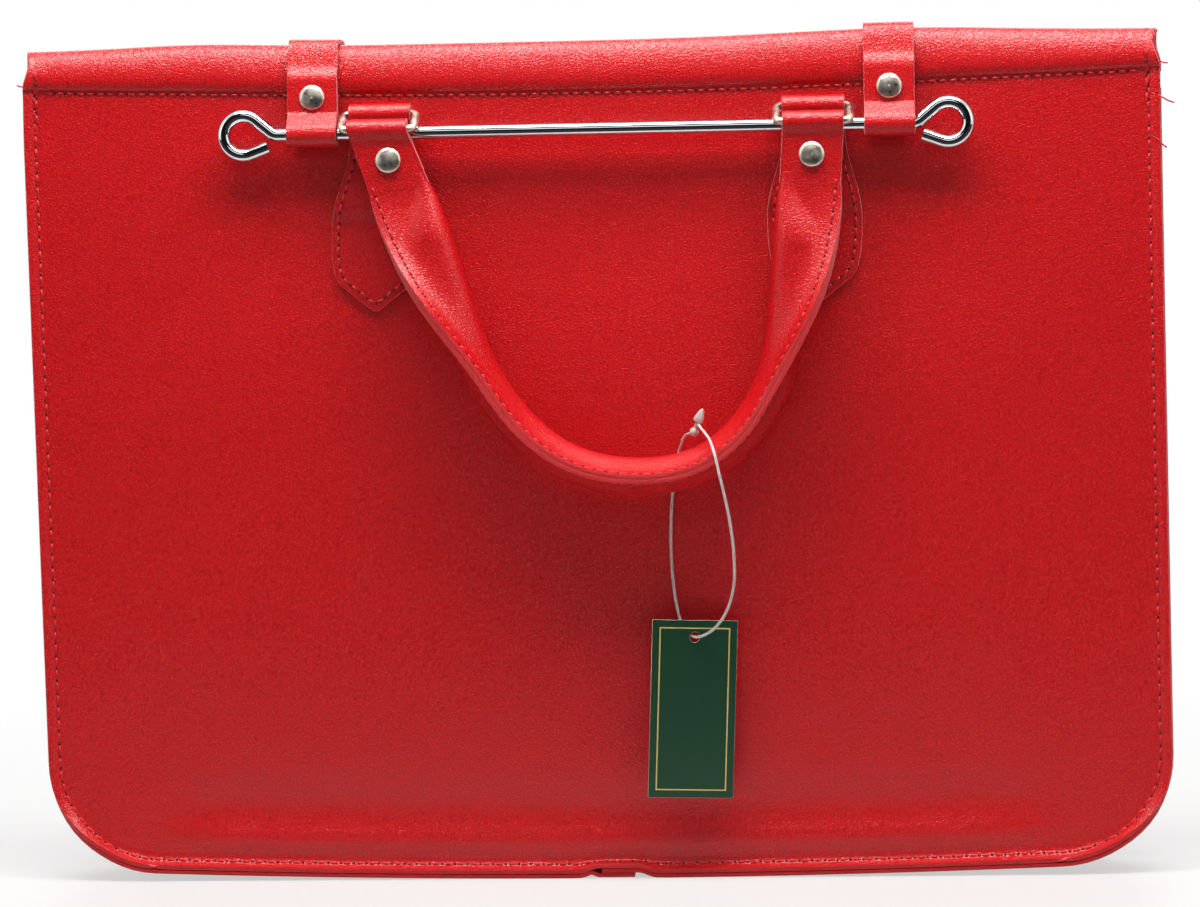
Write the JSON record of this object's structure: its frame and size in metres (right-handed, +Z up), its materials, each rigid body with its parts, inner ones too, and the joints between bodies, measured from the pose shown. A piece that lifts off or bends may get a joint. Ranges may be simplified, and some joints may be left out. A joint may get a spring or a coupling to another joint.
{
  "type": "music case",
  "caption": "Slim soft case with a turned hem, channel gusset, sewn handle on two wire rings and a closing rod held in riveted straps.",
  "frame": {"origin": "middle of the footprint, on the surface that the case stands on", "axes": "+X along the rod, to the right seen from the front; +Y from the front to the back; +Z up to the mouth"},
  "size_m": [0.381, 0.0594, 0.2839],
  "materials": {
    "leathercloth": "fine pebble grain, semi-gloss, red",
    "chrome": "bright chrome plate",
    "nickel": "polished nickel plate",
    "rope": "twisted cotton filler cord",
    "nylon": "clear moulded nylon",
    "card": "printed card, dark green"
  },
  "bodies": {
    "case": {"front_panel": "leathercloth", "back_panel": "leathercloth", "gusset_left": "leathercloth", "gusset_right": "leathercloth", "strap_left": "leathercloth", "strap_right": "leathercloth", "strap_rivet_left_cap": "nickel", "strap_rivet_left_back": "nickel", "strap_rivet_right_cap": "nickel", "strap_rivet_right_back": "nickel", "chape_left": "leathercloth", "chape_right": "leathercloth"},
    "rod": {"rod": "chrome"},
    "rings": {"ring_left": "nickel", "ring_right": "nickel"},
    "handle": {"handle_cover": "leathercloth", "handle_core": "rope", "handle_rivet_left_cap": "nickel", "handle_rivet_left_back": "nickel", "handle_rivet_right_cap": "nickel", "handle_rivet_right_back": "nickel", "tag_loop": "nylon", "tag_lock": "nylon", "swing_tag": "card"}
  },
  "joints": [
    {"name": "rod_slide", "type": "slide", "parent": "case", "child": "rod", "axis": [1, 0, 0], "range_m": [0, 0.0044]},
    {"name": "ring_swing", "type": "hinge", "parent": "case", "child": "rings", "pos_m": [-0.0708, -0.00135, 0.2585], "axis": [-1, 0, 0], "range_deg": [0, 100]},
    {"name": "handle_swing", "type": "hinge", "parent": "rings", "child": "handle", "pos_m": [-0.0708, -0.01093, 0.25309], "axis": [-1, 0, 0], "range_deg": [0, 80]}
  ]
}
